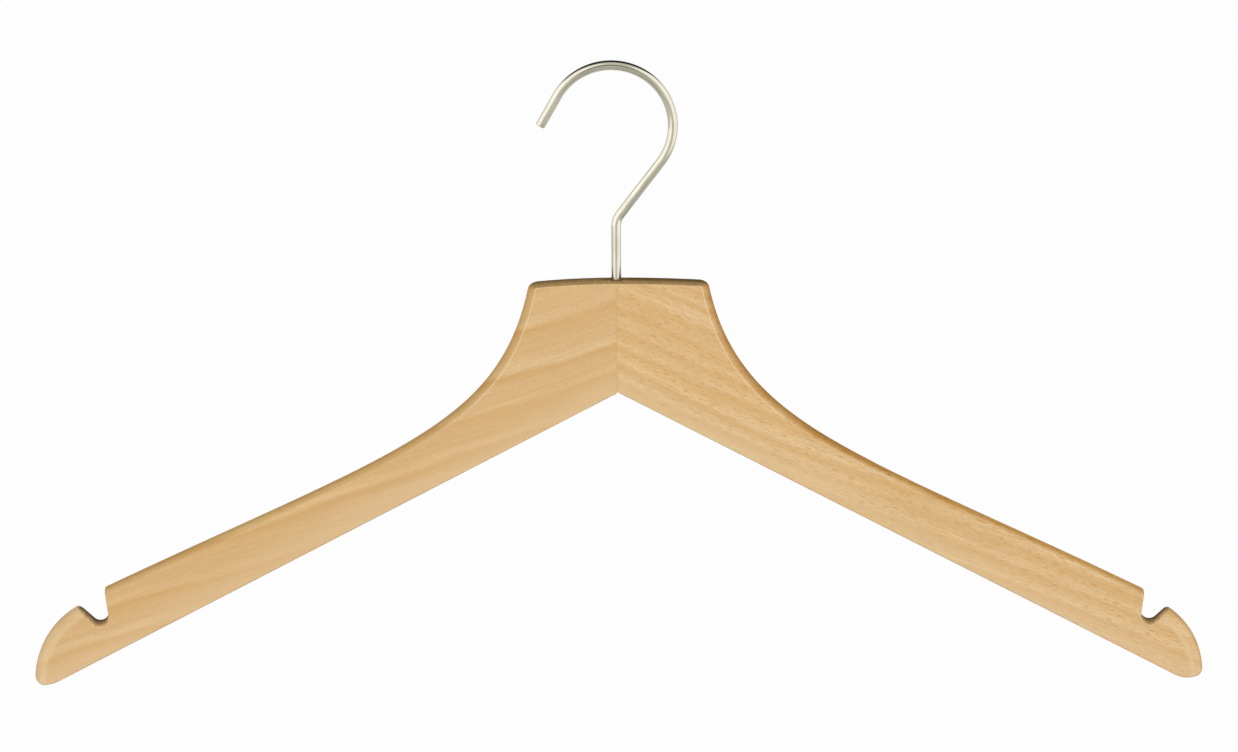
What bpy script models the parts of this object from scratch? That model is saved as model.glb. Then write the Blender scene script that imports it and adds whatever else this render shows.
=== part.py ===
"""A wooden clothes hanger with a wire hook that turns.

Two solid arms are joined by interlocking tongues at the middle of the neck. The hook's shank stands in a
bore down that joint, and a steel pin, driven in from the back, sits in a groove of the shank: it lets the
hook turn and carries the arms. All sizes are in metres.

The world's origin is where the arms hang: on the swivel axis, at the inside of the hook's bow.
+X runs along the arms, +Y away from the viewer and +Z up.
"""

import math

import bmesh
import bpy
from mathutils import Matrix

# The arms, seen from the front
HALF_SPAN = 0.2231
THICKNESS = 0.012
ROUND_OVER = 0.0018
ARM_SLOPE_DEG = 27.63

# The neck
NECK_HALF_WIDTH = 0.0340
NECK_DEPTH = 0.0428
NECK_CROWN_RADIUS = 0.370
NECK_SIDE_DEG = 80.2
NECK_SIDE_REACH = 0.0582

# The upper edge, which curves from the neck's side until it runs straight, just inside the notches
STRAIGHT_TO_NOTCH = 0.0005
ARM_END_DEPTH = 0.0253
ARM_TOP_DEG = 25.9
ARM_TOP_REACH = 0.1212

# The rounded ends outside the notches
LOBE_RADIUS = 0.0329
LOBE_CENTRE_DROP = 0.0135
TIP_RADIUS = 0.0055

# The notches for straps
LEFT_NOTCH_FROM_END = 0.0266
RIGHT_NOTCH_FROM_END = 0.0223
NOTCH_DEPTH = 0.0121
NOTCH_FLOOR_RADIUS = 0.0032
NOTCH_WALL_LEAN_DEG = 8.0
NOTCH_RISE_DEG = 42.0

# The joint: how each layer reaches across, front to back (1 from the left arm, -1 from the right)
JOINT_LAYERS = (0, 1, -1, 1, 0)
TONGUE_LENGTH = 0.005
JOINT_GAP = 0.0003

# The hook's wire, the bend above the neck's top, and the bow above the bend
WIRE_DIAMETER = 0.0038
BEND_HEIGHT = 0.0236
BEND_RADIUS = 0.007
BOW_RADIUS = 0.0240
BOW_ABOVE_BEND = 0.0362
BOW_OFFSET = -0.0022
BOW_END_DEG = 151.5
HOOK_TIP_LENGTH = 0.0122
WIRE_END_EASE = 0.0002

# The shank in its bore, and the pin in the shank's groove
SHANK_DEPTH = 0.025
GROOVE_DEPTH = 0.0008
GROOVE_ABOVE_END = 0.004
PIN_DIAMETER = 0.0015
PIN_CHAMFER = 0.0002
PIN_SET_BACK = 0.0003
PIN_FRONT_WALL = 0.0025
PIN_HOLE_CLEARANCE = 0.00015
SWIVEL_CLEARANCE = 0.0003
BORE_END_ROOM = 0.001
DRILL_POINT_DEG = 118.0
COUNTERSINK = 0.0007

# How far cutters and blanks run past what they cut, and how finely curves are divided
CUT_MARGIN = 0.004
CURVE_STEPS = 28
ARC_STEP_DEG = 6.0
ROUND_STEPS = 32

ARM_SLOPE = math.radians(ARM_SLOPE_DEG)
WIRE_RADIUS = WIRE_DIAMETER / 2
BOW_INSIDE = BOW_RADIUS - WIRE_RADIUS
BOW_HEIGHT = BEND_HEIGHT + BOW_ABOVE_BEND
NECK_TOP_Z = -(BOW_HEIGHT + math.sqrt(BOW_INSIDE**2 - BOW_OFFSET**2))
GROOVE_RADIUS = WIRE_RADIUS - GROOVE_DEPTH
GROOVE_HEIGHT = PIN_DIAMETER + 2 * SWIVEL_CLEARANCE
GROOVE_Z = GROOVE_ABOVE_END - SHANK_DEPTH
PIN_LENGTH = THICKNESS - PIN_SET_BACK - PIN_FRONT_WALL
PIN_X = GROOVE_RADIUS + SWIVEL_CLEARANCE + PIN_DIAMETER / 2
PIN_Z = GROOVE_Z + SWIVEL_CLEARANCE + PIN_DIAMETER / 2


def arc(centre, radius, start_deg, end_deg):
    """Points (x, z) on an arc, both ends among them."""
    steps = max(2, round(abs(end_deg - start_deg) / ARC_STEP_DEG))
    angles = [math.radians(start_deg + (end_deg - start_deg) * i / steps) for i in range(steps + 1)]
    return [(centre[0] + radius * math.cos(a), centre[1] + radius * math.sin(a)) for a in angles]


def cubic(start, start_reach, end, end_reach):
    """Points on a cubic curve; each reach is the vector from an end to its handle."""
    handles = (
        start,
        (start[0] + start_reach[0], start[1] + start_reach[1]),
        (end[0] + end_reach[0], end[1] + end_reach[1]),
        end,
    )
    points = []
    for i in range(CURVE_STEPS + 1):
        t = i / CURVE_STEPS
        weights = ((1 - t) ** 3, 3 * t * (1 - t) ** 2, 3 * t**2 * (1 - t), t**3)
        points.append(tuple(sum(w * h[k] for w, h in zip(weights, handles)) for k in (0, 1)))
    return points


def heading(degrees_down, length):
    """A vector that points outwards and down."""
    angle = math.radians(degrees_down)
    return (length * math.cos(angle), -length * math.sin(angle))


def underside_z(x):
    """Height of the straight underside at a distance x from the joint, below the neck's top."""
    return -NECK_DEPTH - abs(x) * math.tan(ARM_SLOPE)


def crown_z(x):
    """Height of the neck's slightly domed top at a distance x from the joint."""
    return math.sqrt(NECK_CROWN_RADIUS**2 - x**2) - NECK_CROWN_RADIUS


def upper_edge():
    """The arm's upper edge, from the side of the neck to where it runs straight."""
    straight = HALF_SPAN - max(LEFT_NOTCH_FROM_END, RIGHT_NOTCH_FROM_END) - STRAIGHT_TO_NOTCH
    end = (straight, underside_z(straight) + ARM_END_DEPTH)
    back = heading(ARM_TOP_DEG, -ARM_TOP_REACH)
    return cubic((NECK_HALF_WIDTH, 0.0), heading(NECK_SIDE_DEG, NECK_SIDE_REACH), end, back)


def upper_edge_z(x):
    """Height of the upper edge's straight end at a distance x from the joint."""
    end = upper_edge()[-1]
    return end[1] - (x - end[0]) * math.tan(math.radians(ARM_TOP_DEG))


def lobe_centre():
    x = HALF_SPAN - LOBE_RADIUS
    return (x, underside_z(x) - LOBE_CENTRE_DROP)


def tip_centre():
    """Centre of the tip's small arc, which touches the underside and the inside of the lobe's arc."""
    lobe = lobe_centre()
    above = TIP_RADIUS / math.cos(ARM_SLOPE)
    foot = (lobe[0], underside_z(lobe[0]) + above)
    along = (math.cos(ARM_SLOPE), -math.sin(ARM_SLOPE))
    middle = (foot[1] - lobe[1]) * along[1]
    off = abs((foot[1] - lobe[1]) * along[0])
    run = -middle + math.sqrt((LOBE_RADIUS - TIP_RADIUS) ** 2 - off**2)
    return (foot[0] + run * along[0], foot[1] + run * along[1])


def notch_floor_centre(distance):
    """Centre of the notch's rounded floor, which touches the leaning wall below the notch's inner corner."""
    lean = math.radians(NOTCH_WALL_LEAN_DEG)
    down = (NOTCH_DEPTH - NOTCH_FLOOR_RADIUS * (1 + math.sin(lean))) / math.cos(lean)
    x = distance - down * math.sin(lean) + NOTCH_FLOOR_RADIUS * math.cos(lean)
    return (x, upper_edge_z(distance) - NOTCH_DEPTH + NOTCH_FLOOR_RADIUS)


def blank_outline(notch_distance):
    """Outline of one arm before anything is cut from it, x running outwards from the joint."""
    past_joint = TONGUE_LENGTH + CUT_MARGIN
    lobe = lobe_centre()
    tip = tip_centre()
    tangent_deg = math.degrees(math.atan2(tip[1] - lobe[1], tip[0] - lobe[0]))
    step_x = notch_floor_centre(notch_distance)[0] + NOTCH_FLOOR_RADIUS
    step_deg = math.degrees(math.acos((step_x - lobe[0]) / LOBE_RADIUS))
    above_neck = heading(NECK_SIDE_DEG, -CUT_MARGIN)

    outline = [(-past_joint, underside_z(past_joint)), (0.0, underside_z(0.0))]
    outline += arc(tip, TIP_RADIUS, -90 - ARM_SLOPE_DEG, tangent_deg)
    outline += arc(lobe, LOBE_RADIUS, tangent_deg, step_deg)[1:]
    outline.append((step_x, upper_edge_z(step_x)))
    outline += reversed(upper_edge())
    outline.append((NECK_HALF_WIDTH + above_neck[0], above_neck[1]))
    outline.append((-past_joint, above_neck[1]))
    return outline


def notch_outline(distance):
    """What is cut out for a strap: a leaning wall, a round floor and a slope that rises outwards."""
    centre = notch_floor_centre(distance)
    top = max(upper_edge_z(distance), lobe_centre()[1] + LOBE_RADIUS) + CUT_MARGIN
    floor = arc(centre, NOTCH_FLOOR_RADIUS, 180 - NOTCH_WALL_LEAN_DEG, 270 + NOTCH_RISE_DEG)
    wall_rise = top - floor[0][1]
    slope_rise = top - floor[-1][1]
    wall_top = (floor[0][0] + wall_rise * math.tan(math.radians(NOTCH_WALL_LEAN_DEG)), top)
    slope_top = (floor[-1][0] + slope_rise / math.tan(math.radians(NOTCH_RISE_DEG)), top)
    return [wall_top] + floor + [slope_top]


def crown_outline():
    """All that stands above the neck's domed top."""
    reach = NECK_HALF_WIDTH + CUT_MARGIN
    columns = [reach * (2 * i / CURVE_STEPS - 1) for i in range(CURVE_STEPS + 1)]
    top = 2 * CUT_MARGIN
    return [(x, crown_z(x)) for x in columns] + [(reach, top), (-reach, top)]


def joint_outline(side):
    """Seen from above, what the joint takes off the arm on one side (-1 left, 1 right)."""
    layer = THICKNESS / len(JOINT_LAYERS)
    back_off = side * JOINT_GAP / 2
    outline = []
    y = -THICKNESS / 2 - CUT_MARGIN
    for i, reach in enumerate(JOINT_LAYERS):
        x = reach * TONGUE_LENGTH + back_off
        outline.append((x, y))
        last = i == len(JOINT_LAYERS) - 1
        if last:
            y = THICKNESS / 2 + CUT_MARGIN
        else:
            further = math.copysign(1, JOINT_LAYERS[i + 1] - reach)
            y = -THICKNESS / 2 + (i + 1) * layer - further * back_off
        outline.append((x, y))
    far = -side * (TONGUE_LENGTH + 2 * CUT_MARGIN)
    return outline + [(far, THICKNESS / 2 + CUT_MARGIN), (far, -THICKNESS / 2 - CUT_MARGIN)]


def hook_path():
    """Middle of the wire as ((x, z), radius), from the shank's foot to the tip, z from the neck's top."""
    foot = -SHANK_DEPTH
    groove_top = GROOVE_Z + GROOVE_HEIGHT
    eased = WIRE_RADIUS - WIRE_END_EASE
    path = [((0.0, foot), eased), ((0.0, foot + WIRE_END_EASE), WIRE_RADIUS)]
    path += [((0.0, GROOVE_Z - WIRE_END_EASE), WIRE_RADIUS), ((0.0, GROOVE_Z), GROOVE_RADIUS)]
    path += [((0.0, groove_top), GROOVE_RADIUS), ((0.0, groove_top + WIRE_END_EASE), WIRE_RADIUS)]

    bow = (BOW_OFFSET, BOW_HEIGHT)
    apart = math.hypot(BOW_ABOVE_BEND, BOW_OFFSET)
    run_angle = math.acos(BOW_RADIUS / apart) + math.atan2(-BOW_OFFSET, BOW_ABOVE_BEND)
    turn_deg = 90 - math.degrees(run_angle)
    tangent = BEND_RADIUS * math.tan(math.radians(turn_deg) / 2)
    bend = arc((BEND_RADIUS, BEND_HEIGHT - tangent), BEND_RADIUS, 180, 180 - turn_deg)
    curve = arc(bow, BOW_RADIUS, -turn_deg, BOW_END_DEG)
    path += [(point, WIRE_RADIUS) for point in bend + curve]

    end = math.radians(BOW_END_DEG + 90)
    for along, radius in ((HOOK_TIP_LENGTH - WIRE_END_EASE, WIRE_RADIUS), (HOOK_TIP_LENGTH, eased)):
        x = curve[-1][0] + along * math.cos(end)
        z = curve[-1][1] + along * math.sin(end)
        path.append(((x, z), radius))
    return path


def clear_scene():
    for obj in list(bpy.data.objects):
        bpy.data.objects.remove(obj)


def new_collection(name):
    collection = bpy.data.collections.new(name)
    bpy.context.scene.collection.children.link(collection)
    return collection


def material(name, colour, roughness, metallic):
    result = bpy.data.materials.new(name)
    result.use_nodes = True
    shader = result.node_tree.nodes["Principled BSDF"]
    shader.inputs["Base Color"].default_value = (*colour, 1.0)
    shader.inputs["Roughness"].default_value = roughness
    shader.inputs["Metallic"].default_value = metallic
    return result


def prism(name, outline, half_depth, collection, upright=True):
    """A flat outline given thickness; upright ones stand in X and Z, the others lie in X and Y."""
    curve = bpy.data.curves.new(name, "CURVE")
    curve.dimensions = "2D"
    curve.fill_mode = "BOTH"
    curve.extrude = half_depth
    spline = curve.splines.new("POLY")
    spline.points.add(len(outline) - 1)
    for point, (u, v) in zip(spline.points, outline):
        point.co = (u, v, 0.0, 1.0)
    spline.use_cyclic_u = True
    flat = bpy.data.objects.new(name + "_outline", curve)
    collection.objects.link(flat)

    bpy.context.view_layer.update()
    mesh = bpy.data.meshes.new_from_object(flat.evaluated_get(bpy.context.evaluated_depsgraph_get()))
    mesh.name = name
    bpy.data.objects.remove(flat)
    bpy.data.curves.remove(curve)
    if upright:
        mesh.transform(Matrix.Rotation(math.radians(90), 4, "X"))
    shape = bmesh.new()
    shape.from_mesh(mesh)
    bmesh.ops.remove_doubles(shape, verts=shape.verts, dist=1e-6)
    bmesh.ops.dissolve_limit(shape, angle_limit=math.radians(0.05), verts=shape.verts, edges=shape.edges)
    bmesh.ops.recalc_face_normals(shape, faces=shape.faces)
    shape.to_mesh(mesh)
    shape.free()
    result = bpy.data.objects.new(name, mesh)
    collection.objects.link(result)
    return result


def turned(name, profile, collection):
    """A closed profile of (radius, height), top to bottom, turned round the vertical axis."""
    mesh = bpy.data.meshes.new(name)
    shape = bmesh.new()
    ring = [shape.verts.new((radius, 0.0, z)) for radius, z in profile]
    for a, b in zip(ring, ring[1:]):
        shape.edges.new((a, b))
    shape.to_mesh(mesh)
    shape.free()
    result = bpy.data.objects.new(name, mesh)
    collection.objects.link(result)
    screw = result.modifiers.new("turn", "SCREW")
    screw.steps = ROUND_STEPS
    screw.render_steps = ROUND_STEPS
    screw.use_merge_vertices = True
    screw.merge_threshold = 1e-6
    return result


def as_cutter(obj, parent):
    obj.parent = parent
    obj.hide_render = True
    obj.display_type = "WIRE"
    return obj


def cut(obj, cutter):
    boolean = obj.modifiers.new(cutter.name, "BOOLEAN")
    boolean.operation = "DIFFERENCE"
    boolean.solver = "EXACT"
    boolean.object = cutter


def round_face_edges(obj, width):
    """Rounds the edges of the front and back faces, as a round-over bit does."""
    shape = bmesh.new()
    shape.from_mesh(obj.data)
    weight = shape.edges.layers.float.new("bevel_weight_edge")
    for edge in shape.edges:
        faces_along_y = [abs(face.normal.y) > 0.5 for face in edge.link_faces]
        edge[weight] = 1.0 if any(faces_along_y) else 0.0
    shape.to_mesh(obj.data)
    shape.free()
    bevel = obj.modifiers.new("round_over", "BEVEL")
    bevel.limit_method = "WEIGHT"
    bevel.width = width
    bevel.segments = 4
    bevel.use_clamp_overlap = False


def make_arm(name, side, notch_distance, finish, parts, cutters, swivel, shared_cutters):
    """One arm: a rounded blank, its notch, its half of the joint, and the holes that both arms share."""
    outline = [(side * x, z) for x, z in blank_outline(notch_distance)]
    arm = prism(name, outline, THICKNESS / 2, parts)
    arm.parent = swivel
    arm.data.materials.append(finish)
    arm.data.shade_smooth()
    arm.data.set_sharp_from_angle(angle=math.radians(30))
    round_face_edges(arm, ROUND_OVER)

    depth = THICKNESS / 2 + CUT_MARGIN
    notch = [(side * x, z) for x, z in notch_outline(notch_distance)]
    cut(arm, as_cutter(prism(name + "_notch", notch, depth, cutters), swivel))
    joint = prism(name + "_joint", joint_outline(side), NECK_DEPTH, cutters, upright=False)
    joint.location.z = -NECK_DEPTH / 2
    cut(arm, as_cutter(joint, swivel))
    for cutter in shared_cutters:
        cut(arm, cutter)
    return arm


def make_bore(cutters, swivel):
    """The hook's blind bore: a countersunk mouth, and the cone that a drill leaves at the bottom."""
    radius = WIRE_RADIUS + SWIVEL_CLEARANCE
    bottom = -SHANK_DEPTH - BORE_END_ROOM
    point = radius / math.tan(math.radians(DRILL_POINT_DEG / 2))
    profile = [
        (0.0, CUT_MARGIN),
        (radius + COUNTERSINK + CUT_MARGIN, CUT_MARGIN),
        (radius, -COUNTERSINK),
        (radius, bottom),
        (0.0, bottom - point),
    ]
    return as_cutter(turned("hook_bore", profile, cutters), swivel)


def make_pin_hole(cutters, swivel):
    """The hole that the pin is driven into, open at the back."""
    front = THICKNESS / 2 - PIN_SET_BACK - PIN_LENGTH - PIN_HOLE_CLEARANCE
    back = THICKNESS / 2 + CUT_MARGIN
    bpy.ops.mesh.primitive_cylinder_add(
        vertices=ROUND_STEPS,
        radius=PIN_DIAMETER / 2 + PIN_HOLE_CLEARANCE,
        depth=back - front,
        location=(PIN_X, (front + back) / 2, PIN_Z),
        rotation=(math.radians(90), 0.0, 0.0),
    )
    hole = move_to(bpy.context.object, "pin_hole", cutters)
    return as_cutter(hole, swivel)


def make_pin(finish, parts, swivel):
    bpy.ops.mesh.primitive_cylinder_add(
        vertices=ROUND_STEPS,
        radius=PIN_DIAMETER / 2,
        depth=PIN_LENGTH,
        location=(PIN_X, THICKNESS / 2 - PIN_SET_BACK - PIN_LENGTH / 2, PIN_Z),
        rotation=(math.radians(90), 0.0, 0.0),
    )
    pin = move_to(bpy.context.object, "retaining_pin", parts)
    pin.parent = swivel
    pin.data.materials.append(finish)
    pin.data.shade_smooth()
    pin.data.set_sharp_from_angle(angle=math.radians(30))
    chamfer = pin.modifiers.new("chamfer", "BEVEL")
    chamfer.limit_method = "ANGLE"
    chamfer.angle_limit = math.radians(60)
    chamfer.width = PIN_CHAMFER
    return pin


def make_hook(finish, parts):
    curve = bpy.data.curves.new("hook", "CURVE")
    curve.dimensions = "3D"
    curve.bevel_depth = WIRE_RADIUS
    curve.bevel_resolution = 6
    curve.use_fill_caps = True
    spline = curve.splines.new("POLY")
    path = hook_path()
    spline.points.add(len(path) - 1)
    for point, ((x, z), radius) in zip(spline.points, path):
        point.co = (x, 0.0, NECK_TOP_Z + z, 1.0)
        point.radius = radius / WIRE_RADIUS
    spline.use_smooth = True
    curve.materials.append(finish)
    hook = bpy.data.objects.new("hook", curve)
    parts.objects.link(hook)
    return hook


def move_to(obj, name, collection):
    obj.name = name
    obj.data.name = name
    for holder in list(obj.users_collection):
        holder.objects.unlink(obj)
    collection.objects.link(obj)
    return obj


def make_swivel(collection):
    """The axis the arms turn on, at the middle of the neck's top."""
    swivel = bpy.data.objects.new("swivel_axis", None)
    swivel.empty_display_size = NECK_HALF_WIDTH
    swivel.location.z = NECK_TOP_Z
    collection.objects.link(swivel)
    return swivel


def main():
    clear_scene()
    parts = new_collection("wooden_clothes_hanger")
    cutters = new_collection("cutters")
    beech = material("beech", (0.73, 0.47, 0.22), 0.45, 0.0)
    nickel = material("satin_nickel", (0.62, 0.58, 0.50), 0.3, 1.0)
    steel = material("steel_pin", (0.45, 0.45, 0.44), 0.4, 1.0)

    swivel = make_swivel(parts)
    crown = as_cutter(prism("neck_top", crown_outline(), THICKNESS / 2 + CUT_MARGIN, cutters), swivel)
    shared = (crown, make_bore(cutters, swivel), make_pin_hole(cutters, swivel))
    make_arm("left_arm", -1, HALF_SPAN - LEFT_NOTCH_FROM_END, beech, parts, cutters, swivel, shared)
    make_arm("right_arm", 1, HALF_SPAN - RIGHT_NOTCH_FROM_END, beech, parts, cutters, swivel, shared)
    make_pin(steel, parts, swivel)
    make_hook(nickel, parts)


main()
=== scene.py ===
# %% [markdown]
# # A wooden clothes hanger
# The real hanger is two flat arms of beech, glued together at the neck, and one length of plated steel
# wire that turns in the neck. This lesson dresses the plain working model of it: every piece is modelled
# once more with the shape that the hand feels, gets a finish made of nodes, and is then lit and seen as
# in the photo. We start by loading the working model, which fixes every size and place.

import math
from types import SimpleNamespace

import bmesh
import bpy
import numpy as np
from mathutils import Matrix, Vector


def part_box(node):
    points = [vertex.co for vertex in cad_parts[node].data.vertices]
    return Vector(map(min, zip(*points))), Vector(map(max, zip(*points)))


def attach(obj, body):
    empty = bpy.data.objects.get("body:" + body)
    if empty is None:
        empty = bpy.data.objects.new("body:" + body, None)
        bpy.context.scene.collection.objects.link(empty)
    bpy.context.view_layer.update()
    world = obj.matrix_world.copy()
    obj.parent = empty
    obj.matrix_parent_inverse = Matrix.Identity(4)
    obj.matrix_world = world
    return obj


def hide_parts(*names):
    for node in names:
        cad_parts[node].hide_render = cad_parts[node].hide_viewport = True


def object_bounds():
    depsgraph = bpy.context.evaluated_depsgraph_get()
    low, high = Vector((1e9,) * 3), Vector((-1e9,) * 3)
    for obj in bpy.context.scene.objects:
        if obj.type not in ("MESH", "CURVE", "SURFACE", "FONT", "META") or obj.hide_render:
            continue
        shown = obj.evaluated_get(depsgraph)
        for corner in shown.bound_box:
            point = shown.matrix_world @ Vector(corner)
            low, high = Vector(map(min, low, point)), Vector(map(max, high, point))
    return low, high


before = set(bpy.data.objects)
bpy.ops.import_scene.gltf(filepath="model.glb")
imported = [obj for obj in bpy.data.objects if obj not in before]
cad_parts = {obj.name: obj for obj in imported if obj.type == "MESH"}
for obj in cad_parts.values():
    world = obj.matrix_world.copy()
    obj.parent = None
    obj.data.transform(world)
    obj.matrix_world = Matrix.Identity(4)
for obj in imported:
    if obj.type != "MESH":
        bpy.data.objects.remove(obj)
cad_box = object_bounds()
print("pieces of the working model:", sorted(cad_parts))

# %% [markdown]
# ## Where the wood is
# A hanger's sizes read best in millimetres, while Blender counts in metres, so `MM` turns one into the
# other. Two numbers come straight from the working model: how high the neck's top lies, and how thick the
# arms are. Heights on the wood are measured from the neck's top, and negative ones lie below it.

# %% Sizes from the working model
MM = 0.001

neck_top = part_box("left_arm")[1].z / MM
half_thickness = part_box("left_arm")[1].y / MM
print(f"neck's top at {neck_top:.2f} mm, wood {2 * half_thickness:.1f} mm thick")

# %% [markdown]
# ## The two arms, in numbers
# Seen from the front, an arm has a straight underside, a blunt tip, a large round lobe, a notch for
# straps and one long curve up to the neck. The two arms of a real hanger are never quite alike, because
# each is sanded by hand against the belt. So each arm gets its own set of numbers: distances run outwards
# from the joint, heights from the neck's top, and angles are degrees below the horizon. The `round`
# values say how deep the edges are rounded at the neck, along the arm and on the lobe. `crisp_to` and
# `soft_from` say where the neck's crisp edge turns soft, `fades_from` and `faded_to` where the darker
# band of the rounded edge, partly painted shade, narrows, `tint_settled` from where on its colour stays
# the same, and the last number how far behind the middle the painted shade on the neck's top is darkest.

# %% The two arms, in numbers
left_arm = SimpleNamespace(
    name="left_arm_beech", node="left_arm", side=-1,
    underside_at_joint=-42.96, underside_deg=27.63, joint_corner=1.0,
    neck_half_width=33.21, neck_side_deg=79.16, neck_side_reach=58.39, crown_radius=337.4,
    top_end=(196.0, -119.47), top_deg=25.54, top_reach=124.61,
    lobe_centre=(190.36, -155.45), lobe_radius=33.08,
    tip_radius=2.74, heel_radius=16.45, heel_deg=23.53,
    notch_floor=(198.38, -130.24),
    neck_round=2.6, top_round=2.3, lobe_round=3.3, crisp_to=38.0, soft_from=72.0,
    fades_from=140.0, faded_to=178.0, tint_settled=100.0, top_shade_darkest_at=6.0,
)
right_arm = SimpleNamespace(
    name="right_arm_beech", node="right_arm", side=1,
    underside_at_joint=-42.31, underside_deg=27.64, joint_corner=0.1,
    neck_half_width=34.98, neck_side_deg=79.19, neck_side_reach=57.66, crown_radius=574.3,
    top_end=(196.0, -119.20), top_deg=26.24, top_reach=116.96,
    lobe_centre=(194.21, -153.70), lobe_radius=29.97,
    tip_radius=2.10, heel_radius=11.49, heel_deg=46.73,
    notch_floor=(203.87, -131.11),
    neck_round=2.5, top_round=1.7, lobe_round=2.2, crisp_to=45.0, soft_from=95.0,
    fades_from=62.0, faded_to=145.0, tint_settled=150.0, top_shade_darkest_at=2.0,
)
arms = (left_arm, right_arm)
print("the arms reach", [round(arm.lobe_centre[0] + arm.lobe_radius, 1) for arm in arms], "mm out")

# %% [markdown]
# ## Lines that know which side the wood is on
# Every stretch of an arm's edge is kept as a pair: points, and unit vectors that point into the wood.
# With these a whole rounded edge can be made later by sliding the points along their vectors. All
# stretches run the same way round, with the wood on their left: out along the underside, over the lobe,
# and back to the neck.

# %% Stretches of an arm's edge
def straight(start, end, count):
    """A straight stretch and its vectors into the wood."""
    points = np.linspace(start, end, count)
    along = np.subtract(end, start) / math.dist(start, end)
    return points, np.tile((-along[1], along[0]), (count, 1))


def round_stretch(centre, radius, start_deg, end_deg, count):
    """A stretch on a circle; one that runs clockwise is hollow, with the wood outside it."""
    angles = np.radians(np.linspace(start_deg, end_deg, count))
    outwards = np.column_stack((np.cos(angles), np.sin(angles)))
    hollow = end_deg < start_deg
    return np.asarray(centre) + radius * outwards, outwards if hollow else -outwards


def heading(degrees_down, length):
    """A vector that points outwards and down."""
    angle = math.radians(degrees_down)
    return np.array((length * math.cos(angle), -length * math.sin(angle)))


def joined(*stretches):
    """Stretches that meet end to end as one, without their shared points."""
    points = [stretches[0][0]] + [points[1:] for points, inward in stretches[1:]]
    vectors = [stretches[0][1]] + [inward[1:] for points, inward in stretches[1:]]
    return np.concatenate(points), np.concatenate(vectors)


print("a step of 10 mm along the left underside:", heading(left_arm.underside_deg, 10.0).round(2))

# %% [markdown]
# ## The long curve from notch to neck
# The upper edge hollows where the arm meets the neck and then runs almost straight. One cubic Bezier
# curve follows it from end to end, as a draughtsman would lay one spline. It is carried on a little past
# both ends, because the notch and the neck's top are cut into it afterwards.

# %% The upper edge
TOP_POINTS = 160
RUN_ON, RUN_ON_POINTS = 8.0, 9


def upper_edge(arm):
    """The upper edge from beyond the notch to above the neck's top."""
    start = np.array((arm.neck_half_width, 0.0))
    end = np.array(arm.top_end)
    first_handle = start + heading(arm.neck_side_deg, arm.neck_side_reach)
    last_handle = end - heading(arm.top_deg, arm.top_reach)
    t = np.linspace(1.0, 0.0, TOP_POINTS)[:, None]
    s = 1 - t
    curve = s**3 * start + 3 * t * s**2 * first_handle + 3 * t**2 * s * last_handle + t**3 * end
    first_leg, middle_leg, last_leg = first_handle - start, last_handle - first_handle, end - last_handle
    slope = s**2 * first_leg + 2 * t * s * middle_leg + t**2 * last_leg
    along = -slope / np.linalg.norm(slope, axis=1)[:, None]
    inward = np.column_stack((-along[:, 1], along[:, 0]))
    outer = straight(end + heading(arm.top_deg, RUN_ON), end, RUN_ON_POINTS)
    above = straight(start, start - heading(arm.neck_side_deg, RUN_ON), RUN_ON_POINTS)
    return joined(outer, (curve, inward), above)


print("upper edge of the left arm:", len(upper_edge(left_arm)[0]), "points")

# %% [markdown]
# ## The tip and the lobe
# The arm's end is three arcs that run into each other: a shallow heel that leaves the underside, a small
# tip and the large lobe. Where two arcs touch without a corner, their centres lie on one line with the
# touching point. That gives the tip's centre with a little geometry, and no point has to be placed by
# eye. At the other end the underside stops at the joint, where the left arm has a small worn corner.

# %% The underside, the heel and the tip
PAST_JOINT = 9.0
JOINT_CORNER_POINTS, UNDERSIDE_POINTS, HEEL_POINTS, TIP_POINTS, LOBE_POINTS = 10, 60, 16, 24, 90
LOBE_TO_DEG = 80.0


def underside_height(arm, distance):
    return arm.underside_at_joint - distance * math.tan(math.radians(arm.underside_deg))


def tip_centre(arm):
    """Centre of the tip's arc, which touches the heel's arc and the inside of the lobe's."""
    slope = math.radians(arm.underside_deg)
    along = heading(arm.underside_deg, 1.0)
    lobe_centre = np.array(arm.lobe_centre)
    lift = arm.heel_radius - (arm.heel_radius - arm.tip_radius) * math.cos(math.radians(arm.heel_deg))
    foot = np.array((lobe_centre[0], underside_height(arm, lobe_centre[0]) + lift / math.cos(slope)))
    towards = foot - lobe_centre
    apart = arm.lobe_radius - arm.tip_radius
    run = -towards @ along + math.sqrt((towards @ along) ** 2 - towards @ towards + apart**2)
    return foot + run * along


def worn_corner(arm):
    """Where the underside turns up into the joint."""
    high = underside_height(arm, 0.0) + arm.joint_corner / 2
    low = underside_height(arm, arm.joint_corner)
    turn = np.linspace(0.0, math.pi / 2, JOINT_CORNER_POINTS)
    inward = np.column_stack((np.cos(turn), np.sin(turn)))
    distances = arm.joint_corner * (1 - inward[:, 0])
    heights = high + (low - high) * inward[:, 1]
    return np.column_stack((distances, heights)), inward


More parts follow.
